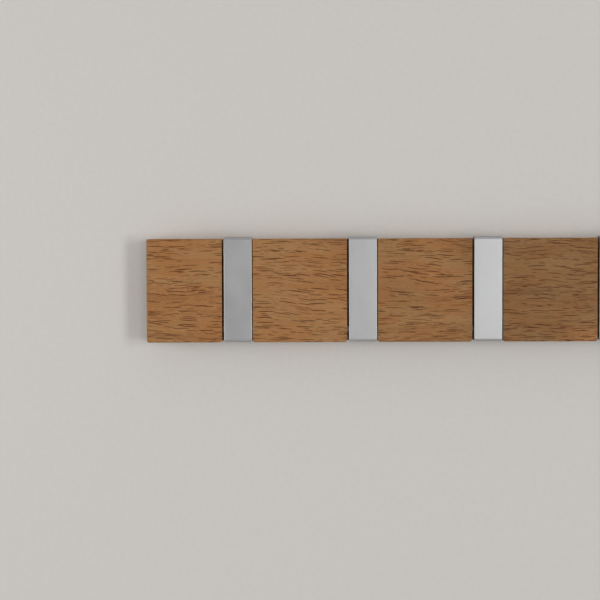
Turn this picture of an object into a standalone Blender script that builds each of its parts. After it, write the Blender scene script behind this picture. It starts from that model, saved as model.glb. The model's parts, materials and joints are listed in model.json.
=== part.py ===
"""Wall hook rail in solid oak with folding aluminium hooks.

Each hook closes flush into a full-height slot in the rail, with its finger lip just above
the top edge. Pulled by the lip, it turns down on a steel pin until its heel meets a pad.
The hook and its pin go in from the back, through a window behind the slot's foot, and a
moulded keeper screwed into the back closes that window, holds the pin and carries the pads.

X runs along the rail and Z up. The front faces -Y, and the back lies on the wall at Y = 0.
The origin is the centre of the back face. Lengths are in metres.
"""
import math

import bmesh
import bpy
from mathutils import Matrix, Vector

# Rail
HOOK_COUNT = 4
HOOK_PITCH = 0.0845
END_BLOCK = 0.0510  # wood between the rail's end and its first slot
RAIL_HEIGHT = 0.0700
RAIL_DEPTH = 0.0220
WEB = 0.0050  # wood left behind a slot
EDGE_RADIUS = 0.0010  # sanded outer edges
ARRIS_RADIUS = 0.0003  # edges of slot mouths and of the back

# Hook
HOOK_WIDTH = 0.0193
HOOK_PROUD = 0.0003  # front of the hook before the front of the wood
PLATE_THICKNESS = 0.0040
LIP_THICKNESS = 0.0040
LIP_REACH = 0.0100  # from the hook's front to the end of its lip
LIP_RISE = 0.0013  # top of the hook above the top of the rail
HEEL_RISE = 0.0003  # foot of the hook above the foot of the rail
KNUCKLE_RADIUS = 0.0073
GUSSET_RISE = 0.0220  # where the gusset's slope meets the plate, above the pin
HEEL_HEIGHT = 0.0100  # top of the knuckle's flat back, above the pin
OPEN_ANGLE = math.radians(80.0)
BROW_RADIUS = 0.0022  # front of the lip
TOE_RADIUS = 0.0020  # front of the heel
LIP_FILLET = 0.0035  # under the lip
THROAT_RADIUS = 0.0200  # where the plate runs into the gusset
SHOULDER_RADIUS = 0.0040  # where the gusset runs into the knuckle's back
HOOK_EDGE = 0.0005  # softened long edges

# Pivot
PIN_DIAMETER = 0.0040
PIN_CHAMFER = 0.0004
PIN_ENGAGEMENT = 0.0110  # pin held in the wood on each side of the slot
BORE_CLEARANCE = 0.00025  # round the pin in the hook
WASHER_GAP = 0.00095  # between the hook and the slot's left wall
RUNNING_GAP = 0.00045  # between the hook and the slot's right wall
WASHER_THICKNESS = 0.0003
WASHER_RADIUS = 0.0042
WASHER_WAVES = 3

# Keeper
KEEPER_RECESS = 0.0003  # below the rail's back
KEEPER_MARGIN = 0.0025  # past the end of the pin
KEEPER_RISE = 0.0110  # top of the window above the pin
KEEPER_DROP = 0.0055  # foot of the keeper's wings below the pin
KEEPER_CORNER = 0.0030
SCREW_RISE = 0.0068  # keeper screws above the pin
SCREW_OFFSET = 0.0060  # keeper screws from the slot's walls
SCREW_DIAMETER = 0.0030
SCREW_HEAD_DIAMETER = 0.0056
SCREW_LENGTH = 0.0120
SCREW_TIP = 0.0020

# Pads
PAD_THICKNESS = 0.0010
PAD_INSET = 0.0016  # from the hook's sides
PAD_CORNER = 0.0010
CLOSING_PAD_START = 0.0030  # above the pin
CLOSING_PAD_HEIGHT = 0.0065
OPENING_PAD_START = 0.0030  # below the pin
OPENING_PAD_HEIGHT = 0.0050

# Wall screw holes, through the webs of the outer slots
WALL_HOLE_DIAMETER = 0.0050
WALL_HOLE_HEAD = 0.0100
WALL_HOLE_HEIGHT = 0.0140  # above the rail's middle

# Clearances and facets
SEAT_GAP = 0.0002  # between pieces that rest on each other
STOP_GAP = 0.0003  # between a hook and the pad that stops it
OVERCUT = 0.0003  # by which one cut passes another
CUT_REACH = 0.0020  # by which a cutter stands out of the wood
FULL_ROUND = 0.48  # share of a thickness that rounds its end without pinching it
NEAR = 1e-6  # points closer than this are one point
ARC_STEP = math.radians(12.0)
ROUND_SIDES = 20
BEVEL_SEGMENTS = 2

# Places that follow from these
slot_width = HOOK_WIDTH + WASHER_GAP + RUNNING_GAP
rail_length = 2 * END_BLOCK + slot_width + (HOOK_COUNT - 1) * HOOK_PITCH
rail_front = -RAIL_DEPTH
slot_floor = -WEB
pin_radius = PIN_DIAMETER / 2
pocket_radius = pin_radius + SEAT_GAP
pin_length = slot_width + 2 * PIN_ENGAGEMENT
window_floor = slot_floor - OVERCUT
keeper_face = window_floor + SEAT_GAP
pad_back = keeper_face - SEAT_GAP
pad_front = pad_back - PAD_THICKNESS
pivot_y = pad_front - STOP_GAP - KNUCKLE_RADIUS

# The heel's flat meets its pad when the hook has turned by OPEN_ANGLE, so it leans by as much.
hook_front = rail_front - HOOK_PROUD - pivot_y
sole_normal = Vector((math.cos(OPEN_ANGLE), -math.sin(OPEN_ANGLE)))
toe_y = hook_front + TOE_RADIUS
toe_z = (sole_normal.x * toe_y - KNUCKLE_RADIUS + TOE_RADIUS) / -sole_normal.y
pivot_z = HEEL_RISE - RAIL_HEIGHT / 2 + TOE_RADIUS - toe_z
hook_top = RAIL_HEIGHT / 2 + LIP_RISE - pivot_z
slot_centres = [HOOK_PITCH * (index - (HOOK_COUNT - 1) / 2) for index in range(HOOK_COUNT)]
hook_shift = (WASHER_GAP - RUNNING_GAP) / 2


def rounded_outline(corners):
    """Points of a closed outline whose corners (u, v, radius) are turned by arcs."""
    points = []
    for index, (u, v, radius) in enumerate(corners):
        corner = Vector((u, v))
        if radius == 0.0:
            points.append(corner)
            continue
        before = (Vector(corners[index - 1][:2]) - corner).normalized()
        after = (Vector(corners[(index + 1) % len(corners)][:2]) - corner).normalized()
        half_angle = before.angle(after) / 2
        centre = corner + (before + after).normalized() * (radius / math.sin(half_angle))
        start = corner + before * (radius / math.tan(half_angle)) - centre
        turn = math.copysign(math.pi - 2 * half_angle, before.y * after.x - before.x * after.y)
        steps = max(2, math.ceil(abs(turn) / ARC_STEP))
        for step in range(steps + 1):
            points.append(centre + Matrix.Rotation(turn * step / steps, 2) @ start)
    return points


def extrude_outline(mesh, outline, axis, low, high):
    """Add a prism to the bmesh: the outline in the plane square to axis, from low to high."""
    places = {"X": lambda u, v: (low, u, v), "Y": lambda u, v: (u, low, v), "Z": lambda u, v: (u, v, low)}
    base = mesh.faces.new([mesh.verts.new(places[axis](u, v)) for u, v in outline])
    grown = bmesh.ops.extrude_face_region(mesh, geom=[base])["geom"]
    travel = Vector([high - low if name == axis else 0.0 for name in "XYZ"])
    moved = [item for item in grown if isinstance(item, bmesh.types.BMVert)]
    bmesh.ops.translate(mesh, vec=travel, verts=moved)
    bmesh.ops.recalc_face_normals(mesh, faces=mesh.faces)


def turn_profile(mesh, profile, centre):
    """Add a turned body to the bmesh: (radius, y) points from pole to pole, about a Y line."""
    verts = [mesh.verts.new((centre.x + radius, y, centre.z)) for radius, y in profile]
    edges = [mesh.edges.new(pair) for pair in zip(verts, verts[1:])]
    bmesh.ops.spin(mesh, geom=verts + edges, cent=centre, axis=(0, 1, 0), angle=2 * math.pi,
                   steps=ROUND_SIDES, use_merge=True)
    bmesh.ops.remove_doubles(mesh, verts=mesh.verts, dist=NEAR)
    bmesh.ops.recalc_face_normals(mesh, faces=mesh.faces)


def add_object(name, mesh, location=(0, 0, 0), material=None):
    """Make an object of the bmesh, smooth but for its corners."""
    data = bpy.data.meshes.new(name)
    mesh.to_mesh(data)
    mesh.free()
    data.shade_smooth()
    data.set_sharp_from_angle(angle=math.radians(35))
    piece = bpy.data.objects.new(name, data)
    piece.location = location
    bpy.context.collection.objects.link(piece)
    if material:
        data.materials.append(material)
    return piece


def add_cutter(name, mesh):
    cutter = add_object(name, mesh)
    cutter.hide_render = True
    cutter.display_type = "WIRE"
    return cutter


def cut(piece, cutter):
    boolean = piece.modifiers.new(cutter.name, "BOOLEAN")
    boolean.operation = "DIFFERENCE"
    boolean.solver = "EXACT"
    boolean.object = cutter


def finish(name, colour, roughness, metallic=0.0):
    material = bpy.data.materials.new(name)
    material.use_nodes = True
    shader = material.node_tree.nodes["Principled BSDF"]
    shader.inputs["Base Color"].default_value = (*colour, 1.0)
    shader.inputs["Roughness"].default_value = roughness
    shader.inputs["Metallic"].default_value = metallic
    return material


def keeper_outline(slot_x, clearance, foot):
    """Outline (x, z) of the window behind a slot's foot, or of the keeper that fills it."""
    tongue = slot_width / 2 + OVERCUT - clearance
    wing = pin_length / 2 + KEEPER_MARGIN - clearance
    top = pivot_z + KEEPER_RISE - clearance
    step = pivot_z - KEEPER_DROP + clearance
    return rounded_outline([
        (slot_x - tongue, foot, 0.0),
        (slot_x + tongue, foot, 0.0),
        (slot_x + tongue, step, 0.0),
        (slot_x + wing, step, KEEPER_CORNER - clearance),
        (slot_x + wing, top, KEEPER_CORNER - clearance),
        (slot_x - wing, top, KEEPER_CORNER - clearance),
        (slot_x - wing, step, KEEPER_CORNER - clearance),
        (slot_x - tongue, step, 0.0),
    ])


def pin_pocket_outline(slot_x, side, inner, radius):
    """Outline (x, z) of the routed seat of one pin end, or of the keeper's leg behind it."""
    start = slot_x + side * inner
    end = slot_x + side * (pin_length / 2 + SEAT_GAP + radius)
    corner = FULL_ROUND * 2 * radius
    return rounded_outline([
        (start, pivot_z - radius, 0.0),
        (end, pivot_z - radius, corner),
        (end, pivot_z + radius, corner),
        (start, pivot_z + radius, 0.0),
    ])


def screw_places(slot_x):
    offset = slot_width / 2 + SCREW_OFFSET
    return {"left": slot_x - offset, "right": slot_x + offset}


def add_rail(oak):
    """Rail: a comb outline drawn out to the rail's height, its edges rounded, then cut from the back."""
    half_length = rail_length / 2
    outline = [(-half_length, 0.0), (-half_length, rail_front)]
    for slot_x in slot_centres:
        left = slot_x - slot_width / 2
        right = slot_x + slot_width / 2
        outline += [(left, rail_front), (left, slot_floor), (right, slot_floor), (right, rail_front)]
    outline += [(half_length, rail_front), (half_length, 0.0)]
    mesh = bmesh.new()
    extrude_outline(mesh, outline, "Z", -RAIL_HEIGHT / 2, RAIL_HEIGHT / 2)

    weights = mesh.edges.layers.float.new("bevel_weight_edge")
    for edge in mesh.edges:
        middle = (edge.verts[0].co + edge.verts[1].co) / 2
        at_front = abs(middle.y - rail_front) < NEAR
        at_back = abs(middle.y) < NEAR
        at_end = abs(abs(middle.x) - half_length) < NEAR
        at_foot = abs(middle.z + RAIL_HEIGHT / 2) < NEAR
        upright = abs(middle.z) < NEAR
        if upright and not (at_front or at_back):
            continue
        outer = not at_back and (at_end or at_foot or (at_front and not upright))
        edge[weights] = 1.0 if outer else ARRIS_RADIUS / EDGE_RADIUS
    rail = add_object("rail", mesh, material=oak)
    bevel = rail.modifiers.new("rounded edges", "BEVEL")
    bevel.width = EDGE_RADIUS
    bevel.segments = BEVEL_SEGMENTS
    bevel.limit_method = "WEIGHT"
    rail.modifiers.new("flat facets", "TRIANGULATE")

    windows = bmesh.new()
    pockets = bmesh.new()
    pilots = bmesh.new()
    for slot_x in slot_centres:
        foot = -RAIL_HEIGHT / 2 - CUT_REACH
        extrude_outline(windows, keeper_outline(slot_x, 0.0, foot), "Y", window_floor, CUT_REACH)
        for side in (-1, 1):
            inner = slot_width / 2 - CUT_REACH
            outline = pin_pocket_outline(slot_x, side, inner, pocket_radius)
            extrude_outline(pockets, outline, "Y", pivot_y - pocket_radius, slot_floor + CUT_REACH)
        for screw_x in screw_places(slot_x).values():
            hole = SCREW_DIAMETER / 2 + SEAT_GAP
            depth = -KEEPER_RECESS - SEAT_GAP - SCREW_LENGTH - SEAT_GAP
            profile = [(0.0, depth), (hole, depth), (hole, 0.0), (0.0, 0.0)]
            turn_profile(pilots, profile, Vector((screw_x, 0.0, pivot_z + SCREW_RISE)))
    cut(rail, add_cutter("keeper_windows", windows))
    cut(rail, add_cutter("pin_pockets", pockets))
    cut(rail, add_cutter("pilot_holes", pilots))

    wall_holes = bmesh.new()
    for slot_x in (slot_centres[0], slot_centres[-1]):
        head = WALL_HOLE_HEAD / 2
        hole = WALL_HOLE_DIAMETER / 2
        profile = [(0.0, slot_floor - CUT_REACH), (head, slot_floor - CUT_REACH), (head, slot_floor)]
        profile += [(hole, slot_floor + head - hole), (hole, CUT_REACH), (0.0, CUT_REACH)]
        turn_profile(wall_holes, profile, Vector((slot_x, 0.0, WALL_HOLE_HEIGHT)))
    cut(rail, add_cutter("wall_screw_holes", wall_holes))


def add_hooks(aluminium):
    """Hooks: one side outline about the pin's axis, drawn out to the hook's width and bored for the pin."""
    plate_back = hook_front + PLATE_THICKNESS
    lip_end = hook_front + LIP_REACH
    lip_under = hook_top - LIP_THICKNESS
    lip_round = FULL_ROUND * LIP_THICKNESS
    outline = rounded_outline([
        (hook_front, (sole_normal.x * hook_front - KNUCKLE_RADIUS) / -sole_normal.y, TOE_RADIUS),
        (hook_front, hook_top, BROW_RADIUS),
        (lip_end, hook_top, lip_round),
        (lip_end, lip_under, lip_round),
        (plate_back, lip_under, LIP_FILLET),
        (plate_back, GUSSET_RISE, THROAT_RADIUS),
        (KNUCKLE_RADIUS, HEEL_HEIGHT, SHOULDER_RADIUS),
        (KNUCKLE_RADIUS, -KNUCKLE_RADIUS * math.tan(OPEN_ANGLE / 2), KNUCKLE_RADIUS),
    ])
    bore = bmesh.new()
    bmesh.ops.create_cone(bore, cap_ends=True, segments=ROUND_SIDES, depth=rail_length,
                          radius1=pin_radius + BORE_CLEARANCE, radius2=pin_radius + BORE_CLEARANCE)
    bmesh.ops.rotate(bore, verts=bore.verts, matrix=Matrix.Rotation(math.pi / 2, 3, "Y"))
    bmesh.ops.translate(bore, verts=bore.verts, vec=(0.0, pivot_y, pivot_z))
    bore_cutter = add_cutter("hook_bores", bore)
    for index, slot_x in enumerate(slot_centres):
        mesh = bmesh.new()
        extrude_outline(mesh, outline, "X", -HOOK_WIDTH / 2, HOOK_WIDTH / 2)
        sides = [edge for edge in mesh.edges if abs(edge.verts[0].co.x - edge.verts[1].co.x) < NEAR]
        bmesh.ops.bevel(mesh, geom=sides, offset=HOOK_EDGE, segments=BEVEL_SEGMENTS, profile=0.5,
                        affect="EDGES", material=-1)
        hook = add_object(f"hook_{index + 1}", mesh, (slot_x + hook_shift, pivot_y, pivot_z), aluminium)
        cut(hook, bore_cutter)


def add_pins(steel):
    """Pins: steel rod with chamfered ends, laid in the rail's pockets."""
    for index, slot_x in enumerate(slot_centres):
        mesh = bmesh.new()
        bmesh.ops.create_cone(mesh, cap_ends=True, segments=ROUND_SIDES, depth=pin_length,
                              radius1=pin_radius, radius2=pin_radius)
        rims = [edge for edge in mesh.edges if abs(edge.verts[0].co.z - edge.verts[1].co.z) < NEAR]
        bmesh.ops.bevel(mesh, geom=rims, offset=PIN_CHAMFER, segments=1, profile=0.5,
                        affect="EDGES", material=-1)
        bmesh.ops.rotate(mesh, verts=mesh.verts, matrix=Matrix.Rotation(math.pi / 2, 3, "Y"))
        add_object(f"pivot_pin_{index + 1}", mesh, (slot_x, pivot_y, pivot_z), steel)


def add_washers(spring_steel):
    """Wave washers: flat spring rings, waved just short of the gap that they fill."""
    inner = pin_radius + SEAT_GAP
    half = WASHER_THICKNESS / 2
    wave = WASHER_GAP / 2 - half - SEAT_GAP
    section = [(-half, inner), (half, inner), (half, WASHER_RADIUS), (-half, WASHER_RADIUS)]
    for index, slot_x in enumerate(slot_centres):
        mesh = bmesh.new()
        verts = [mesh.verts.new((x, radius, 0.0)) for x, radius in section]
        edges = [mesh.edges.new((vert, verts[number - 1])) for number, vert in enumerate(verts)]
        bmesh.ops.spin(mesh, geom=verts + edges, cent=(0, 0, 0), axis=(1, 0, 0), angle=2 * math.pi,
                       steps=ROUND_SIDES, use_merge=True)
        bmesh.ops.recalc_face_normals(mesh, faces=mesh.faces)
        for vert in mesh.verts:
            vert.co.x += wave * math.cos(WASHER_WAVES * math.atan2(vert.co.z, vert.co.y))
        washer_x = slot_x - slot_width / 2 + WASHER_GAP / 2
        add_object(f"wave_washer_{index + 1}", mesh, (washer_x, pivot_y, pivot_z), spring_steel)


def add_keepers(nylon):
    """Keepers: a plate in the window, a leg behind each pin end, and two countersunk holes."""
    foot = HEEL_RISE - RAIL_HEIGHT / 2
    leg_end = pivot_y + pin_radius + SEAT_GAP
    holes = bmesh.new()
    for slot_x in slot_centres:
        for screw_x in screw_places(slot_x).values():
            hole = SCREW_DIAMETER / 2 + SEAT_GAP
            head = SCREW_HEAD_DIAMETER / 2 + SEAT_GAP
            sunk = -KEEPER_RECESS - SEAT_GAP
            front = keeper_face - CUT_REACH
            profile = [(0.0, front), (hole, front), (hole, sunk - head + hole)]
            profile += [(head, sunk), (head, CUT_REACH), (0.0, CUT_REACH)]
            turn_profile(holes, profile, Vector((screw_x, 0.0, pivot_z + SCREW_RISE)))
    hole_cutter = add_cutter("keeper_screw_holes", holes)
    for index, slot_x in enumerate(slot_centres):
        legs = bmesh.new()
        for side in (-1, 1):
            inner = slot_width / 2 + SEAT_GAP
            outline = pin_pocket_outline(slot_x, side, inner, pocket_radius - SEAT_GAP)
            extrude_outline(legs, outline, "Y", leg_end, keeper_face + CUT_REACH)
        leg_form = add_cutter(f"keeper_legs_{index + 1}", legs)
        plate = bmesh.new()
        extrude_outline(plate, keeper_outline(slot_x, SEAT_GAP, foot), "Y", keeper_face, -KEEPER_RECESS)
        keeper = add_object(f"pin_keeper_{index + 1}", plate, material=nylon)
        union = keeper.modifiers.new("legs", "BOOLEAN")
        union.operation = "UNION"
        union.solver = "EXACT"
        union.object = leg_form
        cut(keeper, hole_cutter)


def add_keeper_screws(steel):
    """Keeper screws: countersunk, heads just under the keeper's back."""
    back = -KEEPER_RECESS - SEAT_GAP
    shank = SCREW_DIAMETER / 2
    head = SCREW_HEAD_DIAMETER / 2
    end = back - SCREW_LENGTH
    profile = [(0.0, end), (shank / 3, end), (shank, end + SCREW_TIP), (shank, back - head + shank)]
    profile += [(head, back), (0.0, back)]
    for index, slot_x in enumerate(slot_centres):
        for side, screw_x in screw_places(slot_x).items():
            mesh = bmesh.new()
            turn_profile(mesh, profile, Vector((screw_x, 0.0, pivot_z + SCREW_RISE)))
            add_object(f"keeper_screw_{index + 1}_{side}", mesh, material=steel)


def add_pads(rubber):
    """Pads: rubber strips on the keeper, above the pin for the folded hook, below it for the open one."""
    half = HOOK_WIDTH / 2 - PAD_INSET
    spans = {
        "closing_pad": (pivot_z + CLOSING_PAD_START, pivot_z + CLOSING_PAD_START + CLOSING_PAD_HEIGHT),
        "opening_pad": (pivot_z - OPENING_PAD_START - OPENING_PAD_HEIGHT, pivot_z - OPENING_PAD_START),
    }
    for index, slot_x in enumerate(slot_centres):
        hook_x = slot_x + hook_shift
        for name, (low, high) in spans.items():
            mesh = bmesh.new()
            outline = rounded_outline([
                (hook_x - half, low, PAD_CORNER),
                (hook_x + half, low, PAD_CORNER),
                (hook_x + half, high, PAD_CORNER),
                (hook_x - half, high, PAD_CORNER),
            ])
            extrude_outline(mesh, outline, "Y", pad_front, pad_back)
            add_object(f"{name}_{index + 1}", mesh, material=rubber)


for leftover in list(bpy.data.objects):
    bpy.data.objects.remove(leftover, do_unlink=True)

add_rail(finish("oiled oak", (0.29, 0.14, 0.056), 0.55))
add_hooks(finish("satin aluminium", (0.50, 0.50, 0.50), 0.40, 1.0))
add_pins(finish("bright steel", (0.56, 0.56, 0.57), 0.25, 1.0))
add_washers(finish("spring steel", (0.32, 0.32, 0.34), 0.30, 1.0))
add_keepers(finish("black nylon", (0.03, 0.03, 0.032), 0.50))
add_keeper_screws(finish("zinc-plated steel", (0.60, 0.60, 0.62), 0.30, 1.0))
add_pads(finish("black rubber", (0.02, 0.02, 0.02), 0.80))
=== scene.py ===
"""Looks of the oak hook rail: its wood, metal and hidden fittings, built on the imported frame."""

import json
import math

import bmesh
import bpy
from mathutils import Matrix, Vector


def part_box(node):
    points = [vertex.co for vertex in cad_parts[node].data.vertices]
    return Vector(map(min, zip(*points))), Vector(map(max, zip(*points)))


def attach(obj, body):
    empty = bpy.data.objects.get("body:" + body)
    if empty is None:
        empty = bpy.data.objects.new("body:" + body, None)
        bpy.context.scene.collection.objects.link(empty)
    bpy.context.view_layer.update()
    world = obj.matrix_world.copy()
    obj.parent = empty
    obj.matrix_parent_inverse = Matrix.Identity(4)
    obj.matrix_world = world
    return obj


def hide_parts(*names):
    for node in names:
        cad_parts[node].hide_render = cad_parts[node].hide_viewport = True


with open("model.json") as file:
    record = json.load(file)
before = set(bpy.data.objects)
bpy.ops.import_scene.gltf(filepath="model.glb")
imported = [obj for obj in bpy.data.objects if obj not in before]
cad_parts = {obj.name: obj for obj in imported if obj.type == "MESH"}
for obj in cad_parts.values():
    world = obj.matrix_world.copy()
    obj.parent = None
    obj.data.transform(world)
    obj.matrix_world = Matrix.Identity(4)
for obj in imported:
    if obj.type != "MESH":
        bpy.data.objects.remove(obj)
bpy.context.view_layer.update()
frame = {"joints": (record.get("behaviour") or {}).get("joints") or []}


# Rail: one length of oak, planed, sanded and oiled. Its slots are sawn from the front through
# the full height, and a window for each hook's keeper is routed into the back, with a seat for
# each pin end. Two screws through the floors of the outer slots hold it up.
SLOT_WIDTH = 0.0207
WEB = 0.0050
END_ROUND = 0.0015
FACE_ROUND = 0.0010
FOOT_CORNER = 0.0018
SLOT_ARRIS = 0.0003
ROUND_SEGMENTS = 5
TONGUE_LAP = 0.0001
WING_DROP = 0.0053
WING_CORNER = 0.0028
WINDOW_DEPTH = 0.0053
FIT_GAP = 0.0002
SEAT_TURN = 0.96
PILOT_RADIUS = 0.0017
WALL_HOLE_RADIUS = 0.0025
WALL_HEAD_RADIUS = 0.0050
WALL_HOLE_HEIGHT = 0.0140
HOLE_STEPS = 48
CUT_REACH = 0.0020
ARC_STEP = 0.09
CREASE_ANGLE = math.radians(32)
FLAT_WEIGHT = 100
NEAR = 1e-5
MERGE = 1e-7

hook_numbers = range(1, len(frame["joints"]) + 1)
rail_low, rail_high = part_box("rail")
slot_floor = rail_high.y - WEB


def middle(node):
    """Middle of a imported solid's box."""
    low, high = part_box(node)
    return (low + high) / 2


def rounded_face(mesh, corners):
    """A flat face through corner points, each (point, radius) turned by an arc."""
    others = set(mesh.faces)
    points = [Vector(point) for point, radius in corners]
    radii = [radius for point, radius in corners]
    verts = [mesh.verts.new(point) for point in points]
    mesh.faces.new(verts)
    for index, radius in enumerate(radii):
        if radius == 0.0:
            continue
        before = points[index - 1] - points[index]
        after = points[(index + 1) % len(points)] - points[index]
        turn = math.pi - before.angle(after)
        bmesh.ops.bevel(mesh, geom=[verts[index]], offset=radius * math.tan(turn / 2),
                        segments=math.ceil(turn / ARC_STEP), profile=0.5, affect="VERTICES",
                        material=-1)
    return next(face for face in mesh.faces if face not in others)


def draw_out(mesh, corners, travel):
    """Draw a face with rounded corners out along travel, as a closed body, and give its far corners."""
    grown = bmesh.ops.extrude_face_region(mesh, geom=[rounded_face(mesh, corners)])["geom"]
    moved = [item for item in grown if isinstance(item, bmesh.types.BMVert)]
    bmesh.ops.translate(mesh, verts=moved, vec=travel)
    bmesh.ops.recalc_face_normals(mesh, faces=mesh.faces)
    return moved


def turn_body(mesh, profile, centre, axis, steps=HOLE_STEPS):
    """Spin the points (radius, along) about a line through centre, from pole to pole."""
    along = Vector(axis)
    out = Vector((0, 0, 1))
    verts = [mesh.verts.new(centre + out * radius + along * place) for radius, place in profile]
    edges = [mesh.edges.new(pair) for pair in zip(verts, verts[1:])]
    bmesh.ops.spin(mesh, geom=verts + edges, cent=centre, axis=axis, angle=2 * math.pi, steps=steps,
                   use_merge=True)
    bmesh.ops.remove_doubles(mesh, verts=mesh.verts, dist=MERGE)
    bmesh.ops.recalc_face_normals(mesh, faces=mesh.faces)


def make_object(name, mesh):
    """Put a finished bmesh into the scene as an object."""
    data = bpy.data.meshes.new(name)
    mesh.to_mesh(data)
    mesh.free()
    piece = bpy.data.objects.new(name, data)
    bpy.context.scene.collection.objects.link(piece)
    return piece


def settle(piece):
    """Make a piece's modifiers part of its mesh."""
    bpy.context.view_layer.update()
    evaluated = piece.evaluated_get(bpy.context.evaluated_depsgraph_get())
    settled = bpy.data.meshes.new_from_object(evaluated)
    piece.modifiers.clear()
    piece.data = settled


def combine(piece, tool_mesh, operation="DIFFERENCE"):
    """Cut a tool body out of a piece, or join it on."""
    tool = make_object(piece.name + "_tool", tool_mesh)
    boolean = piece.modifiers.new("tool", "BOOLEAN")
    boolean.operation = operation
    boolean.solver = "EXACT"
    boolean.object = tool
    settle(piece)
    bpy.data.objects.remove(tool)


def hand_over(piece, material, slot, body, *nodes):
    """Finish a piece: smooth shading, its material, and the body and solids that it stands for."""
    piece.data.shade_smooth()
    piece.data.set_sharp_from_angle(angle=CREASE_ANGLE)
    normals = piece.modifiers.new("flat faces stay flat", "WEIGHTED_NORMAL")
    normals.keep_sharp = True
    normals.weight = FLAT_WEIGHT
    settle(piece)
    piece.data.materials.clear()
    piece.data.materials.append(material)
    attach(piece, body)
    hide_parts(*nodes)


def add_node(tree, kind, inputs=None, **settings):
    """Add a shader node, with its settings made and its sockets set or linked."""
    node = tree.nodes.new("ShaderNode" + kind)
    for name, value in settings.items():
        setattr(node, name, value)
    for socket, value in (inputs or {}).items():
        if isinstance(value, bpy.types.NodeSocket):
            tree.links.new(value, node.inputs[socket])
        else:
            node.inputs[socket].default_value = value
    return node


def start_material(name):
    """A new material, its node tree, its shader, and the place on the piece that patterns follow."""
    material = bpy.data.materials.new(name)
    material.use_nodes = True
    tree = material.node_tree
    place = add_node(tree, "TexCoord").outputs["Object"]
    return material, tree, tree.nodes["Principled BSDF"], place


def stretched_noise(tree, place, scale, detail, start=(0.0, 0.0, 0.0)):
    """Noise drawn out by the scale along each axis, in cycles per metre, from a start in the pattern."""
    mapping = add_node(tree, "Mapping", {"Vector": place, "Scale": scale, "Location": start})
    sockets = {"Vector": mapping.outputs[0], "Scale": 1.0, "Detail": detail}
    return add_node(tree, "TexNoise", sockets).outputs["Fac"]


def ranged(tree, value, low, high, to_low=0.0, to_high=1.0):
    """Ease a value that lies between low and high over to another range, and hold it there beyond."""
    sockets = {"Value": value, "From Min": low, "From Max": high, "To Min": to_low, "To Max": to_high}
    return add_node(tree, "MapRange", sockets, interpolation_type="SMOOTHSTEP").outputs[0]


def math_node(tree, operation, *values):
    """One sum on numbers and sockets."""
    return add_node(tree, "Math", dict(enumerate(values)), operation=operation).outputs[0]


def mixed(tree, factor, first, second, blend="MIX"):
    """Mix two colours, fixed ones or sockets. The node's own colour sockets go by number."""
    first_socket = 6
    second_socket = 7
    result_socket = 2
    sockets = {"Factor": factor}
    for socket, colour in ((first_socket, first), (second_socket, second)):
        sockets[socket] = colour if isinstance(colour, bpy.types.NodeSocket) else (*colour, 1.0)
    return add_node(tree, "Mix", sockets, data_type="RGBA", blend_type=blend).outputs[result_socket]


def tinted(tree, colour, tint):
    """A colour made darker or paler by a tint."""
    return mixed(tree, 1.0, colour, tint, "MULTIPLY")


def emboss(tree, shader, height, strength, depth):
    """Shade a surface as if it rose and fell with a height, by up to depth in metres."""
    bump = add_node(tree, "Bump", {"Strength": strength, "Distance": depth, "Height": height})
    tree.links.new(bump.outputs[0], shader.inputs["Normal"])


def pore_dashes(tree, grain, scale):
    """Open pores drawn out along the grain: the pores, their paler rims, and all that lies beside them.

    Some pores are dark and some faint. Each row starts a little further along than the last, as rows
    of bricks do, so that no pores line up.
    """
    row_slip = 0.618
    layer_slip = 0.7
    scatter = 0.75
    pore_width = 0.315
    pore_edge = 0.345
    rim_width = 0.22
    faint_lot = 0.26
    dark_lot = 0.50
    faintest = 0.08
    slip = row_slip * scale[2] / scale[0]
    slope = (1.0, layer_slip * slip, slip)
    along = add_node(tree, "VectorMath", {0: grain, 1: slope}, operation="DOT_PRODUCT").outputs["Value"]
    split = add_node(tree, "SeparateXYZ", {0: grain}).outputs
    bricks = add_node(tree, "CombineXYZ", {"X": along, "Y": split["Y"], "Z": split["Z"]}).outputs[0]
    mapping = add_node(tree, "Mapping", {"Vector": bricks, "Scale": scale})
    sockets = {"Vector": mapping.outputs[0], "Scale": 1.0, "Randomness": scatter}
    cells = add_node(tree, "TexVoronoi", sockets).outputs
    lot = add_node(tree, "SeparateColor", {0: cells["Color"]}).outputs[0]
    strength = ranged(tree, lot, faint_lot, dark_lot, to_low=faintest)
    inside = ranged(tree, cells["Distance"], pore_width, pore_edge, to_low=1.0, to_high=0.0)
    beside = ranged(tree, cells["Distance"], pore_edge, pore_edge + rim_width, to_low=1.0, to_high=0.0)
    dashes = math_node(tree, "MULTIPLY", inside, strength)
    rims = math_node(tree, "MULTIPLY", beside, strength)
    return dashes, rims, beside


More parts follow.
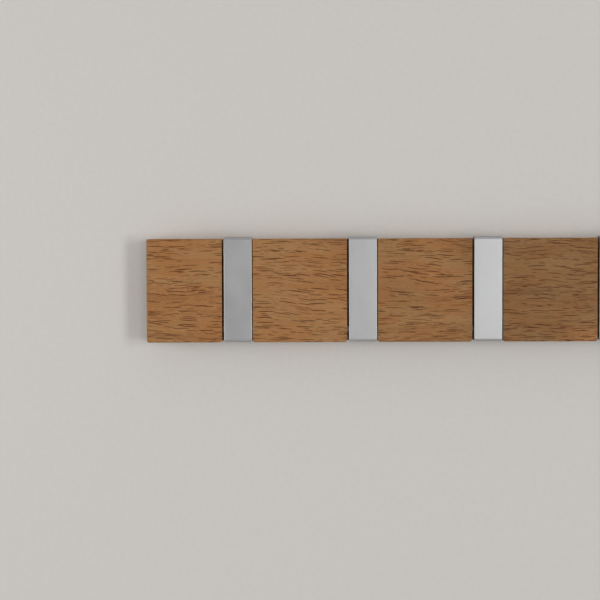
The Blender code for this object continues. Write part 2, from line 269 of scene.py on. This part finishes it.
def oiled_oak():
    """Flat-sawn oak: gently waved grain along X, open pores as dark dashes, growth rings on the ends."""
    yellow = (0.358, 0.177, 0.063)
    orange = (0.352, 0.151, 0.046)
    line_colour = (0.196, 0.080, 0.025)
    smudge_colour = (0.172, 0.070, 0.023)
    pore_colour = (0.062, 0.012, 0.000)
    dark_streak = (0.935, 0.915, 0.88)
    pale_streak = (1.062, 1.085, 1.125)
    plain = (1.0, 1.0, 1.0)
    darker_tint = (0.69, 0.705, 0.68)
    pore_rim = (1.13, 1.18, 1.27)
    spring_wood = (0.47, 0.45, 0.42)
    summer_wood = (0.74, 0.73, 0.71)
    pith = (0.0, 0.050, 0.010)
    rings_per_metre = 310.0
    wander_reach = 0.026
    ripple_reach = 0.0014
    dark_block_start = (4.11, 0.0, 0.0)
    fibre_height = 0.25
    pore_depth = 0.0002
    material, tree, shader, place = start_material("oiled_oak")

    wander = stretched_noise(tree, place, (7.0, 9.0, 16.0), detail=2.0)
    ripple = stretched_noise(tree, place, (55.0, 150.0, 160.0), detail=1.0)
    split = add_node(tree, "SeparateXYZ", {0: place}).outputs
    waved = math_node(tree, "MULTIPLY_ADD", wander, wander_reach, split["Z"])
    rippled = math_node(tree, "MULTIPLY_ADD", ripple, ripple_reach, waved)
    grain = add_node(tree, "CombineXYZ", {"X": split["X"], "Y": split["Y"], "Z": rippled}).outputs[0]

    patches = stretched_noise(tree, grain, (26.0, 60.0, 75.0), detail=2.0)
    growth = stretched_noise(tree, grain, (5.0, 70.0, 120.0), detail=2.0)
    smudges = stretched_noise(tree, grain, (34.0, 150.0, 170.0), detail=2.0)
    # A broad noise darkens the colour in long patches along the rail; its start is set so that the block
    # right of the third hook comes out darkest.
    broad_darkening = stretched_noise(tree, grain, (7.0, 9.0, 9.0), detail=1.0, start=dark_block_start)
    streaks = stretched_noise(tree, grain, (13.0, 1250.0, 1250.0), detail=2.0)
    fibres = stretched_noise(tree, grain, (420.0, 2600.0, 2600.0), detail=1.0)
    colour = mixed(tree, ranged(tree, patches, 0.36, 0.64), yellow, orange)
    colour = mixed(tree, ranged(tree, growth, 0.52, 0.70, to_high=0.42), colour, line_colour)
    colour = mixed(tree, ranged(tree, smudges, 0.64, 0.78, to_high=0.10), colour, smudge_colour)
    colour = tinted(tree, colour, mixed(tree, ranged(tree, broad_darkening, 0.40, 0.60), darker_tint, plain))
    for lines, darkest, palest in ((streaks, 0.30, 0.70), (fibres, 0.20, 0.80)):
        shade = ranged(tree, lines, darkest, palest)
        colour = tinted(tree, colour, mixed(tree, shade, dark_streak, pale_streak))

    rows = stretched_noise(tree, grain, (7.0, 130.0, 170.0), detail=1.0)
    long_pores, long_rims, beside_long = pore_dashes(tree, grain, (60.0, 1380.0, 1380.0))
    short_pores, short_rims = pore_dashes(tree, grain, (142.0, 1500.0, 1500.0))[:2]
    clear = math_node(tree, "SUBTRACT", 1.0, beside_long)
    porous = math_node(tree, "MULTIPLY", ranged(tree, rows, 0.38, 0.56, to_low=0.60), clear)
    pores = math_node(tree, "MAXIMUM", long_pores, math_node(tree, "MULTIPLY", short_pores, porous))
    rims = math_node(tree, "MAXIMUM", long_rims, math_node(tree, "MULTIPLY", short_rims, porous))
    colour = tinted(tree, colour, mixed(tree, rims, plain, pore_rim))
    colour = mixed(tree, pores, colour, pore_colour)

    normal = add_node(tree, "NewGeometry").outputs["Normal"]
    endways = add_node(tree, "SeparateXYZ", {0: normal}).outputs["X"]
    end_grain = ranged(tree, math_node(tree, "ABSOLUTE", endways), 0.55, 0.98)
    section = add_node(tree, "CombineXYZ", {"Y": split["Y"], "Z": rippled}).outputs[0]
    age = add_node(tree, "VectorMath", {0: section, 1: pith}, operation="DISTANCE").outputs["Value"]
    year = math_node(tree, "FRACT", math_node(tree, "MULTIPLY", age, rings_per_metre))
    ring = mixed(tree, ranged(tree, year, 0.05, 0.60), spring_wood, summer_wood)
    colour = tinted(tree, colour, mixed(tree, end_grain, plain, ring))

    tree.links.new(colour, shader.inputs["Base Color"])
    polish = ranged(tree, pores, 0.0, 1.0, to_low=0.55, to_high=0.75)
    tree.links.new(polish, shader.inputs["Roughness"])
    shader.inputs["Specular IOR Level"].default_value = 0.25
    height = math_node(tree, "SUBTRACT", math_node(tree, "MULTIPLY", fibres, fibre_height), pores)
    emboss(tree, shader, height, strength=0.35, depth=pore_depth)
    return material


def keeper_outline(number, depth, slack, foot):
    """Corners of the window behind a slot's foot, or with no slack of the keeper that fills it."""
    low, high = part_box(f"pin_keeper_{number}")
    pin = middle(f"pivot_pin_{number}")
    tongue = SLOT_WIDTH / 2 + TONGUE_LAP + slack
    step = pin.z - WING_DROP - slack
    top = high.z + slack
    left, right = low.x - slack, high.x + slack
    corner = WING_CORNER + slack
    places = [(pin.x - tongue, foot, 0.0), (pin.x + tongue, foot, 0.0), (pin.x + tongue, step, 0.0),
              (right, step, corner), (right, top, corner), (left, top, corner), (left, step, corner),
              (pin.x - tongue, step, 0.0)]
    return [(Vector((x, depth, z)), radius) for x, z, radius in places]


def pin_end_outline(number, side, inner, radius, depth):
    """Corners of the round-ended seat of one pin end, or of the keeper's leg behind it."""
    low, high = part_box(f"pivot_pin_{number}")
    pin = (low + high) / 2
    start = pin.x + side * inner
    end = pin.x + side * ((high.x - low.x) / 2 + FIT_GAP + radius)
    corner = SEAT_TURN * radius
    places = [(start, pin.z - radius, 0.0), (end, pin.z - radius, corner), (end, pin.z + radius, corner),
              (start, pin.z + radius, 0.0)]
    return [(Vector((x, depth, z)), turn) for x, z, turn in places]


def rail_edge_round(edge):
    """Radius of one edge of the plain comb: sanded outside, crisp at the slots and the back."""
    place = (edge.verts[0].co + edge.verts[1].co) / 2
    along = edge.verts[1].co - edge.verts[0].co
    at_front = abs(place.y - rail_low.y) < NEAR
    at_back = abs(place.y - rail_high.y) < NEAR
    at_end = abs(place.x - rail_low.x) < NEAR or abs(place.x - rail_high.x) < NEAR
    at_foot = abs(place.z - rail_low.z) < NEAR
    upright = abs(along.z) > NEAR
    inward = abs(along.y) > NEAR
    if upright and not (at_front or at_back):
        return 0.0
    if at_back:
        return SLOT_ARRIS
    if at_end:
        return FACE_ROUND if upright else END_ROUND
    if at_foot and inward:
        return FOOT_CORNER
    if at_foot or (at_front and not upright):
        return FACE_ROUND
    return SLOT_ARRIS


comb = [(rail_low.x, rail_high.y), (rail_low.x, rail_low.y)]
slot_centres = [middle(f"pivot_pin_{number}").x for number in hook_numbers]
for centre in slot_centres:
    left, right = centre - SLOT_WIDTH / 2, centre + SLOT_WIDTH / 2
    comb += [(left, rail_low.y), (left, slot_floor), (right, slot_floor), (right, rail_low.y)]
comb += [(rail_high.x, rail_low.y), (rail_high.x, rail_high.y)]
rail_mesh = bmesh.new()
corners = [(Vector((x, y, rail_low.z)), 0.0) for x, y in comb]
draw_out(rail_mesh, corners, (0, 0, rail_high.z - rail_low.z))
weights = rail_mesh.edges.layers.float.new("bevel_weight_edge")
for edge in rail_mesh.edges:
    edge[weights] = rail_edge_round(edge) / FOOT_CORNER
rail = make_object("oak_rail", rail_mesh)
rounding = rail.modifiers.new("rounded edges", "BEVEL")
rounding.width = FOOT_CORNER
rounding.segments = ROUND_SEGMENTS
rounding.limit_method = "WEIGHT"
rail.modifiers.new("flat facets", "TRIANGULATE")
settle(rail)

windows = bmesh.new()
pin_seats = bmesh.new()
pilot_holes = bmesh.new()
for number in hook_numbers:
    outline = keeper_outline(number, -WINDOW_DEPTH, FIT_GAP, rail_low.z - CUT_REACH)
    draw_out(windows, outline, (0, WINDOW_DEPTH + CUT_REACH, 0))
    pin_low, pin_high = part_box(f"pivot_pin_{number}")
    seat = (pin_high.z - pin_low.z) / 2 + FIT_GAP
    seat_front = pin_low.y - FIT_GAP
    for side in (-1, 1):
        outline = pin_end_outline(number, side, SLOT_WIDTH / 2 - CUT_REACH, seat, seat_front)
        draw_out(pin_seats, outline, (0, slot_floor + CUT_REACH - seat_front, 0))
    for side in ("left", "right"):
        screw = middle(f"keeper_screw_{number}_{side}")
        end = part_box(f"keeper_screw_{number}_{side}")[0].y - FIT_GAP
        profile = [(0.0, end), (PILOT_RADIUS, end), (PILOT_RADIUS, 0.0), (0.0, 0.0)]
        turn_body(pilot_holes, profile, Vector((screw.x, 0.0, screw.z)), (0, 1, 0))
wall_holes = bmesh.new()
for centre in (slot_centres[0], slot_centres[-1]):
    sunk = slot_floor + WALL_HEAD_RADIUS - WALL_HOLE_RADIUS
    profile = [(0.0, slot_floor - CUT_REACH), (WALL_HEAD_RADIUS, slot_floor - CUT_REACH),
               (WALL_HEAD_RADIUS, slot_floor), (WALL_HOLE_RADIUS, sunk), (WALL_HOLE_RADIUS, CUT_REACH),
               (0.0, CUT_REACH)]
    turn_body(wall_holes, profile, Vector((centre, 0.0, WALL_HOLE_HEIGHT)), (0, 1, 0))
for tool in (windows, pin_seats, pilot_holes, wall_holes):
    combine(rail, tool)
hand_over(rail, oiled_oak(), "oak", "rail", "rail")


# Hooks: satin aluminium, one J-shaped section cut to width, its edges broken and the whole bead
# blasted and anodised. The flat sole under the pin meets a pad when the hook stands open.
PLATE = 0.0040
LIP = 0.0040
LIP_REACH = 0.0100
GUSSET_RISE = 0.0220
HEEL_HEIGHT = 0.0100
BROW_ROUND = 0.0022
TOE_ROUND = 0.0020
LIP_END_ROUND = 0.00192
LIP_FILLET = 0.0035
THROAT_ROUND = 0.0200
SHOULDER_ROUND = 0.0040
HOOK_EDGE_ROUND = 0.00045
HOOK_EDGE_SEGMENTS = 4
WASHER_SIDE_TRIM = 0.0003
TOE_CORNER = 0.0014
TOE_STEPS = 6
BORE_RADIUS = 0.00225
BORE_STEPS = 64


def satin_aluminium():
    """Bead-blasted aluminium: a fine even grain with faint cloudy patches."""
    dull = (0.336, 0.341, 0.347)
    bright = (0.374, 0.379, 0.386)
    blast_depth = 0.00005
    material, tree, shader, place = start_material("satin_aluminium")
    clouds = stretched_noise(tree, place, (45.0, 45.0, 26.0), detail=2.0)
    grain = stretched_noise(tree, place, (9000.0, 9000.0, 9000.0), detail=2.0)
    colour = mixed(tree, ranged(tree, clouds, 0.30, 0.70), dull, bright)
    tree.links.new(colour, shader.inputs["Base Color"])
    polish = ranged(tree, clouds, 0.25, 0.75, to_low=0.37, to_high=0.45)
    tree.links.new(polish, shader.inputs["Roughness"])
    shader.inputs["Metallic"].default_value = 1.0
    emboss(tree, shader, grain, strength=0.08, depth=blast_depth)
    return material


def round_toe_corners(mesh, centre):
    """Draw the sides in towards the foot along a quarter circle, so that both lower corners are round."""
    foot = min(vert.co.z for vert in mesh.verts)
    for step in range(1, TOE_STEPS + 1):
        level = foot + TOE_CORNER * (1 - math.cos(math.pi / 2 * step / TOE_STEPS))
        bmesh.ops.bisect_plane(mesh, geom=mesh.verts[:] + mesh.edges[:] + mesh.faces[:], dist=MERGE,
                               plane_co=(0, 0, level), plane_no=(0, 0, 1))
    for vert in mesh.verts:
        drop = min(max(foot + TOE_CORNER - vert.co.z, 0.0), TOE_CORNER)
        inward = TOE_CORNER - math.sqrt(TOE_CORNER ** 2 - drop ** 2)
        vert.co.x += math.copysign(inward, centre - vert.co.x)


def hook_mesh(low, high, pivot, open_angle):
    """The hook's side outline drawn out to its width, with its long edges rounded."""
    knuckle = high.y - pivot.y
    sole = Vector((math.cos(open_angle), -math.sin(open_angle)))
    outline = [
        (low.y, pivot.z + (sole.x * (low.y - pivot.y) - knuckle) / -sole.y, TOE_ROUND),
        (low.y, high.z, BROW_ROUND),
        (low.y + LIP_REACH, high.z, LIP_END_ROUND),
        (low.y + LIP_REACH, high.z - LIP, LIP_END_ROUND),
        (low.y + PLATE, high.z - LIP, LIP_FILLET),
        (low.y + PLATE, pivot.z + GUSSET_RISE, THROAT_ROUND),
        (high.y, pivot.z + HEEL_HEIGHT, SHOULDER_ROUND),
        (high.y, pivot.z - knuckle * math.tan(open_angle / 2), knuckle),
    ]
    mesh = bmesh.new()
    left = low.x + WASHER_SIDE_TRIM
    draw_out(mesh, [(Vector((left, y, z)), radius) for y, z, radius in outline], (high.x - left, 0, 0))
    rims = [edge for edge in mesh.edges if abs(edge.verts[0].co.x - edge.verts[1].co.x) < NEAR]
    bmesh.ops.bevel(mesh, geom=rims, offset=HOOK_EDGE_ROUND, segments=HOOK_EDGE_SEGMENTS, profile=0.5,
                    affect="EDGES", material=-1)
    round_toe_corners(mesh, (left + high.x) / 2)
    return mesh


aluminium = satin_aluminium()
for number, joint in zip(hook_numbers, frame["joints"]):
    low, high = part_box(f"hook_{number}")
    pivot = Vector(joint["pos_m"])
    open_angle = math.radians(joint["range_deg"][1])
    hook = make_object(f"folding_hook_{number}", hook_mesh(low, high, pivot, open_angle))
    bore = bmesh.new()
    reach = (high.x - low.x) / 2 + CUT_REACH
    profile = [(0.0, -reach), (BORE_RADIUS, -reach), (BORE_RADIUS, reach), (0.0, reach)]
    turn_body(bore, profile, Vector(((low.x + high.x) / 2, pivot.y, pivot.z)), (1, 0, 0), BORE_STEPS)
    combine(hook, bore)
    hand_over(hook, aluminium, "aluminium", f"hook_{number}", f"hook_{number}")


# Pivot pins and wave washers: ground steel rod cut to length with chamfered ends, and a thin ring
# of blackened spring steel, stamped in three waves, which takes up the wider gap at the hook's left.
PIN_CHAMFER = 0.0004
PIN_STEPS = 64
WASHER_BORE = 0.0022
WASHER_STEEL = 0.0003
WASHER_WAVES = 3
WASHER_STEPS = 72


def worked_steel(name, light, dark, roughness, marks):
    """Steel, bare or plated, with faint stains and fine marks of its making at the marks' scale."""
    smoother = 0.06
    rougher = 0.08
    mark_depth = 0.00004
    material, tree, shader, place = start_material(name)
    lines = stretched_noise(tree, place, marks, detail=3.0)
    stains = stretched_noise(tree, place, (260.0, 260.0, 260.0), detail=3.0)
    colour = mixed(tree, ranged(tree, stains, 0.30, 0.70), dark, light)
    tree.links.new(colour, shader.inputs["Base Color"])
    polish = ranged(tree, lines, 0.25, 0.75, roughness - smoother, roughness + rougher)
    tree.links.new(polish, shader.inputs["Roughness"])
    shader.inputs["Metallic"].default_value = 1.0
    emboss(tree, shader, lines, strength=0.12, depth=mark_depth)
    return material


pin_steel = worked_steel("ground_steel", light=(0.58, 0.58, 0.59), dark=(0.50, 0.50, 0.51),
                         roughness=0.26, marks=(9000.0, 500.0, 500.0))
spring_steel = worked_steel("blackened_spring_steel", light=(0.075, 0.075, 0.080),
                            dark=(0.045, 0.045, 0.048), roughness=0.40, marks=(900.0, 4000.0, 4000.0))
for number in hook_numbers:
    low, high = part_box(f"pivot_pin_{number}")
    radius, half = (high.z - low.z) / 2, (high.x - low.x) / 2
    pin_mesh = bmesh.new()
    profile = [(0.0, -half), (radius - PIN_CHAMFER, -half), (radius, PIN_CHAMFER - half),
               (radius, half - PIN_CHAMFER), (radius - PIN_CHAMFER, half), (0.0, half)]
    turn_body(pin_mesh, profile, (low + high) / 2, (1, 0, 0), PIN_STEPS)
    pin = make_object(f"steel_pin_{number}", pin_mesh)
    hand_over(pin, pin_steel, "pin_steel", "rail", f"pivot_pin_{number}")

    low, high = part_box(f"wave_washer_{number}")
    centre = Vector(((low.x + high.x) / 2, (low.y + high.y) / 2, middle(f"pivot_pin_{number}").z))
    wave = (high.x - low.x - WASHER_STEEL) / 2
    washer_mesh = bmesh.new()
    corners = [(-WASHER_STEEL / 2, WASHER_BORE), (WASHER_STEEL / 2, WASHER_BORE),
               (WASHER_STEEL / 2, high.z - centre.z), (-WASHER_STEEL / 2, high.z - centre.z)]
    verts = [washer_mesh.verts.new(centre + Vector((along, 0, out))) for along, out in corners]
    edges = [washer_mesh.edges.new((vert, verts[index - 1])) for index, vert in enumerate(verts)]
    bmesh.ops.spin(washer_mesh, geom=verts + edges, cent=centre, axis=(1, 0, 0), angle=2 * math.pi,
                   steps=WASHER_STEPS, use_merge=True)
    bmesh.ops.recalc_face_normals(washer_mesh, faces=washer_mesh.faces)
    for vert in washer_mesh.verts:
        turn = math.atan2(vert.co.z - centre.z, vert.co.y - centre.y)
        vert.co.x += wave * math.cos(WASHER_WAVES * turn)
    washer = make_object(f"spring_washer_{number}", washer_mesh)
    hand_over(washer, spring_steel, "spring_steel", "rail", f"wave_washer_{number}")


# Keepers: black nylon mouldings let into the back. The plate fills the window behind the slot's
# foot, a leg on each wing closes the seat behind a pin end, and two countersunk holes take the
# screws. A shallow panel in the back keeps the moulding even in thickness.
KEEPER_EDGE = 0.0003
RIM_SEGMENTS = 3
HOLE_RADIUS = 0.0017
HEAD_ROOM = 0.0030
PANEL_MARGIN = 0.0022
PANEL_DEPTH = 0.0005
PANEL_CORNER = 0.0012


def moulded(name, colour, worn, roughness, grain_scale, grain_depth):
    """Moulded black plastic or rubber: a fine sparked grain, a little paler in worn patches."""
    smoother = 0.05
    rougher = 0.08
    material, tree, shader, place = start_material(name)
    grain = stretched_noise(tree, place, (grain_scale, grain_scale, grain_scale), detail=2.0)
    clouds = stretched_noise(tree, place, (90.0, 90.0, 90.0), detail=3.0)
    patchy = mixed(tree, ranged(tree, clouds, 0.35, 0.70), colour, worn)
    tree.links.new(patchy, shader.inputs["Base Color"])
    polish = ranged(tree, grain, 0.25, 0.75, roughness - smoother, roughness + rougher)
    tree.links.new(polish, shader.inputs["Roughness"])
    emboss(tree, shader, grain, strength=0.25, depth=grain_depth)
    return material


def soften_rim(mesh, depth, offset):
    """Round the outer edges of a drawn-out plate at one depth."""
    rims = [edge for edge in mesh.edges if all(abs(vert.co.y - depth) < NEAR for vert in edge.verts)]
    bmesh.ops.bevel(mesh, geom=rims, offset=offset, segments=RIM_SEGMENTS, profile=0.5, affect="EDGES",
                    material=-1)


nylon = moulded("black_nylon", colour=(0.026, 0.026, 0.028), worn=(0.040, 0.040, 0.042),
                roughness=0.46, grain_scale=5200.0, grain_depth=0.00004)
for number in hook_numbers:
    low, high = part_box(f"pin_keeper_{number}")
    pin_low, pin_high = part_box(f"pivot_pin_{number}")
    plate_front = FIT_GAP - WINDOW_DEPTH
    plate_mesh = bmesh.new()
    draw_out(plate_mesh, keeper_outline(number, plate_front, 0.0, low.z), (0, high.y - plate_front, 0))
    soften_rim(plate_mesh, high.y, KEEPER_EDGE)
    keeper = make_object(f"nylon_keeper_{number}", plate_mesh)

    legs = bmesh.new()
    leg_radius = (pin_high.z - pin_low.z) / 2
    leg_end = pin_high.y + FIT_GAP
    for side in (-1, 1):
        outline = pin_end_outline(number, side, SLOT_WIDTH / 2 + FIT_GAP, leg_radius, leg_end)
        draw_out(legs, outline, (0, plate_front + CUT_REACH - leg_end, 0))
    combine(keeper, legs, "UNION")

    holes = bmesh.new()
    for side in ("left", "right"):
        screw_low, screw_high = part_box(f"keeper_screw_{number}_{side}")
        screw = (screw_low + screw_high) / 2
        sunk = screw_high.y
        profile = [(0.0, plate_front - CUT_REACH), (HOLE_RADIUS, plate_front - CUT_REACH),
                   (HOLE_RADIUS, sunk - HEAD_ROOM + HOLE_RADIUS), (HEAD_ROOM, sunk),
                   (HEAD_ROOM, CUT_REACH), (0.0, CUT_REACH)]
        turn_body(holes, profile, Vector((screw.x, 0.0, screw.z)), (0, 1, 0))
    combine(keeper, holes)

    panel = bmesh.new()
    centre = (low.x + high.x) / 2
    left, right = centre - SLOT_WIDTH / 2 + PANEL_MARGIN, centre + SLOT_WIDTH / 2 - PANEL_MARGIN
    foot, top = low.z + PANEL_MARGIN, high.z - PANEL_MARGIN
    outline = [(left, foot), (right, foot), (right, top), (left, top)]
    floor = high.y - PANEL_DEPTH
    draw_out(panel, [(Vector((x, floor, z)), PANEL_CORNER) for x, z in outline], (0, CUT_REACH, 0))
    combine(keeper, panel)
    hand_over(keeper, nylon, "nylon", "rail", f"pin_keeper_{number}")


# Keeper screws: zinc-plated countersunk wood screws with a cross recess, two to a keeper, driven
# through it into the back of the rail.
SHANK_RADIUS = 0.0015
THREAD_ROOT = 0.00105
THREAD_PITCH = 0.0011
TIP_RADIUS = 0.0003
TIP_LENGTH = 0.00025
SCREW_POINT = 0.0020
NECK = 0.0022
HEAD_EDGE = 0.0001
SCREW_STEPS = 44
RECESS_REACH = 0.0017
RECESS_WIDTH = 0.00033
RECESS_DEPTH = 0.0014
RECESS_START = 0.00035
RECESS_TAPER = 0.45


def screw_profile(back, end, head):
    """Half section of a screw from its point to its head, with ridges for the thread."""
    profile = [(0.0, end), (TIP_RADIUS, end + TIP_LENGTH), (THREAD_ROOT, end + SCREW_POINT)]
    cone = back - head + SHANK_RADIUS
    neck = cone - NECK
    ridge = end + SCREW_POINT + THREAD_PITCH / 2
    while ridge + THREAD_PITCH / 2 < neck:
        profile.append((SHANK_RADIUS, ridge))
        profile.append((THREAD_ROOT, ridge + THREAD_PITCH / 2))
        ridge += THREAD_PITCH
    profile += [(SHANK_RADIUS, neck), (SHANK_RADIUS, cone), (head, back - HEAD_EDGE)]
    return profile + [(head - HEAD_EDGE, back), (0.0, back)]


zinc = worked_steel("zinc_plated_steel", light=(0.64, 0.65, 0.67), dark=(0.52, 0.53, 0.56),
                    roughness=0.30, marks=(2600.0, 2600.0, 2600.0))
for number in hook_numbers:
    for side in ("left", "right"):
        node = f"keeper_screw_{number}_{side}"
        low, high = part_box(node)
        axis = Vector(((low.x + high.x) / 2, 0.0, (low.z + high.z) / 2))
        screw_mesh = bmesh.new()
        profile = screw_profile(high.y, low.y, (high.z - low.z) / 2)
        turn_body(screw_mesh, profile, axis, (0, 1, 0), SCREW_STEPS)
        screw = make_object(f"zinc_screw_{number}_{side}", screw_mesh)

        recess = bmesh.new()
        cross = []
        for along, across in ((1, -1), (1, 1), (-1, 1), (-1, -1)):
            tip = (along * RECESS_REACH, across * RECESS_WIDTH)
            root = (along * RECESS_WIDTH, across * RECESS_WIDTH)
            side_tip = (along * RECESS_WIDTH, across * RECESS_REACH)
            cross += [tip, root, side_tip] if along * across > 0 else [side_tip, root, tip]
        corners = [(Vector((axis.x + x, high.y + RECESS_START, axis.z + z)), 0.0) for x, z in cross]
        deep = draw_out(recess, corners, (0, -RECESS_START - RECESS_DEPTH, 0))
        bmesh.ops.scale(recess, vec=(RECESS_TAPER, 1.0, RECESS_TAPER), verts=deep,
                        space=Matrix.Translation(-axis))
        bmesh.ops.recalc_face_normals(recess, faces=recess.faces)
        combine(screw, recess)
        hand_over(screw, zinc, "screw_steel", "rail", node)


# Pads: black rubber strips stuck on the keeper's face in the slot. The upper one stops the hook
# as it folds away and the lower one as it opens.
PAD_CORNER = 0.0010
PAD_EDGE = 0.00025

rubber = moulded("black_rubber", colour=(0.017, 0.017, 0.017), worn=(0.028, 0.028, 0.027),
                 roughness=0.74, grain_scale=3800.0, grain_depth=0.00006)
for number in hook_numbers:
    for name in ("closing_pad", "opening_pad"):
        low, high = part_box(f"{name}_{number}")
        outline = [(low.x, low.z), (high.x, low.z), (high.x, high.z), (low.x, high.z)]
        pad_mesh = bmesh.new()
        corners = [(Vector((x, high.y, z)), PAD_CORNER) for x, z in outline]
        draw_out(pad_mesh, corners, (0, low.y - high.y, 0))
        soften_rim(pad_mesh, low.y, PAD_EDGE)
        pad = make_object(f"rubber_{name}_{number}", pad_mesh)
        hand_over(pad, rubber, "rubber", "rail", f"{name}_{number}")


# Stage: a pale upright backdrop that shows from the front only and a pale floor, lit by a tall
# panel at the right, a small one in front, a broad one at the left and soft ones above and
# behind. The camera stands at the photograph's place.
BACKDROP_GAP = 0.0004
BACKDROP_COLOUR = (0.675, 0.649, 0.618)
FLOOR_DROP = 1.20
FLOOR_COLOUR = (0.78, 0.77, 0.75)
FLOOR_LIFT = 0.25
STAGE_SIZE = 6.0
PAINT_SHADE = 0.96
LAMP_WHITE = (1.0, 0.99, 0.975)
ROOM_COLOUR = (0.96, 0.98, 1.0, 1.0)
ROOM_LIGHT = 0.345
SEEN_ROOM_COLOUR = (0.567, 0.558, 0.545, 1.0)
LENS = 81.0
SENSOR = 36.0
CAMERA_PLACE = (-0.0809, -0.9327, 0.0255)
CAMERA_TURN = 0.223
CAMERA_DIP = 2.009
CAMERA_ROLL = -0.196


def shown(tree):
    """One for rays from the camera, off metal and through glass, so that all see the same room."""
    path = add_node(tree, "LightPath").outputs
    mirrored = math_node(tree, "MAXIMUM", path["Is Camera Ray"], path["Is Glossy Ray"])
    return math_node(tree, "MAXIMUM", mirrored, path["Is Transmission Ray"])


def one_sided(name, colour, lift):
    """Plain paint that shows from its front only, with any lift as light that falls on nothing else."""
    material, tree, shader, place = start_material(name)
    plaster = stretched_noise(tree, place, (300.0, 300.0, 300.0), detail=3.0)
    shade = [PAINT_SHADE * part for part in colour]
    paint = mixed(tree, ranged(tree, plaster, 0.3, 0.7, to_high=0.5), colour, shade)
    tree.links.new(paint, shader.inputs["Base Color"])
    shader.inputs["Roughness"].default_value = 0.8
    shader.inputs["Specular IOR Level"].default_value = 0.2
    if lift > 0.0:
        tree.links.new(math_node(tree, "MULTIPLY", shown(tree), lift), shader.inputs["Emission Strength"])
        shader.inputs["Emission Color"].default_value = (*colour, 1.0)
    behind = add_node(tree, "NewGeometry").outputs["Backfacing"]
    clear = add_node(tree, "BsdfTransparent").outputs[0]
    mix = add_node(tree, "MixShader", {0: behind, 1: shader.outputs[0], 2: clear})
    tree.links.new(mix.outputs[0], tree.nodes["Material Output"].inputs["Surface"])
    return material


def add_plane(name, matrix, colour, lift):
    """One square of the stage, which casts no shadow and throws no light back."""
    mesh = bmesh.new()
    bmesh.ops.create_grid(mesh, x_segments=1, y_segments=1, size=STAGE_SIZE / 2, matrix=matrix)
    plane = make_object(name, mesh)
    plane.data.materials.append(one_sided(name + "_paint", colour, lift))
    plane.visible_shadow = False
    plane.visible_diffuse = False


def add_panel(name, place, width, height, power, aim=(0.0, 0.0, 0.0)):
    """A soft lamp that faces its aim and doesn't show itself."""
    lamp = bpy.data.lights.new(name, "AREA")
    lamp.shape = "RECTANGLE"
    lamp.size = width
    lamp.size_y = height
    lamp.energy = power
    lamp.color = LAMP_WHITE
    panel = bpy.data.objects.new(name, lamp)
    panel.location = place
    panel.rotation_euler = (Vector(aim) - Vector(place)).to_track_quat("-Z", "Y").to_euler()
    panel.visible_camera = False
    bpy.context.scene.collection.objects.link(panel)


upright = Matrix.Translation((0, rail_high.y + BACKDROP_GAP, 0)) @ Matrix.Rotation(math.pi / 2, 4, "X")
level = Matrix.Translation((0, 0, rail_low.z - FLOOR_DROP))
add_plane("pale_wall", upright, BACKDROP_COLOUR, lift=0.0)
add_plane("pale_floor", level, FLOOR_COLOUR, lift=FLOOR_LIFT)
add_panel("key_panel", (1.118, -1.658, 0.0), width=0.35, height=0.8, power=11.4)
add_panel("front_panel", (0.347, -1.970, 0.0), width=0.35, height=0.4, power=2.8)
add_panel("fill_panel", (-1.559, -0.90, 0.0), width=1.155, height=1.1, power=16.4, aim=(0.0, -0.90, 0.0))
add_panel("top_panel", (0.25, -0.75, 1.80), width=1.2, height=1.2, power=2.4)
add_panel("back_panel", (0.55, 2.10, 1.25), width=1.8, height=1.8, power=32.0)

world = bpy.data.worlds.new("soft_room")
world.use_nodes = True
bpy.context.scene.world = world
sky = world.node_tree
room = sky.nodes["Background"]
room.inputs["Color"].default_value = ROOM_COLOUR
room.inputs["Strength"].default_value = ROOM_LIGHT
seen_room = add_node(sky, "Background", {"Color": SEEN_ROOM_COLOUR, "Strength": 1.0})
joined = add_node(sky, "MixShader", {0: shown(sky), 1: room.outputs[0], 2: seen_room.outputs[0]})
sky.links.new(joined.outputs[0], sky.nodes["World Output"].inputs["Surface"])

camera_data = bpy.data.cameras.new("camera")
camera_data.lens = LENS
camera_data.sensor_width = SENSOR
camera = bpy.data.objects.new("camera", camera_data)
camera.matrix_world = (
    Matrix.Translation(CAMERA_PLACE)
    @ Matrix.Rotation(math.radians(CAMERA_TURN), 4, "Z")
    @ Matrix.Rotation(math.radians(90.0 - CAMERA_DIP), 4, "X")
    @ Matrix.Rotation(math.radians(CAMERA_ROLL), 4, "Z")
)
bpy.context.scene.collection.objects.link(camera)
bpy.context.scene.camera = camera
bpy.context.scene.view_settings.view_transform = "Standard"
